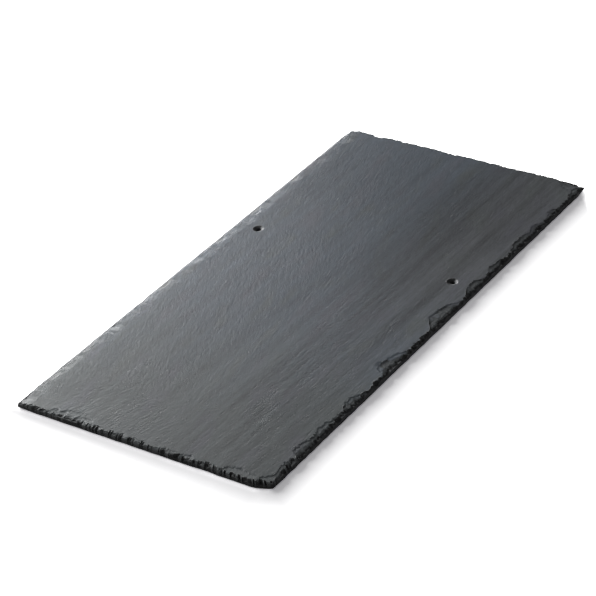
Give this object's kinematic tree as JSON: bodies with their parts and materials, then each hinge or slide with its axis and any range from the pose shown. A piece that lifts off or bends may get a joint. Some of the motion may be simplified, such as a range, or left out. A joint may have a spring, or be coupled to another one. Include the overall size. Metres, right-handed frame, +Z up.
{
  "type": "natural slate cladding panel",
  "caption": "Flat rectangular riven slate with dressed, chipped edges and a pair of punched nail holes, for cladding a wall or roof.",
  "frame": {"origin": "centre of the bed face, on the surface the slate lies on", "axes": "+X across the slate, +Y along it from the tail to the head, +Z up out of the face"},
  "size_m": [0.25, 0.5, 0.006],
  "materials": {
    "slate": "riven matt stone with a faint sheen"
  },
  "bodies": {
    "root": {"slate": "slate"}
  },
  "joints": []
}
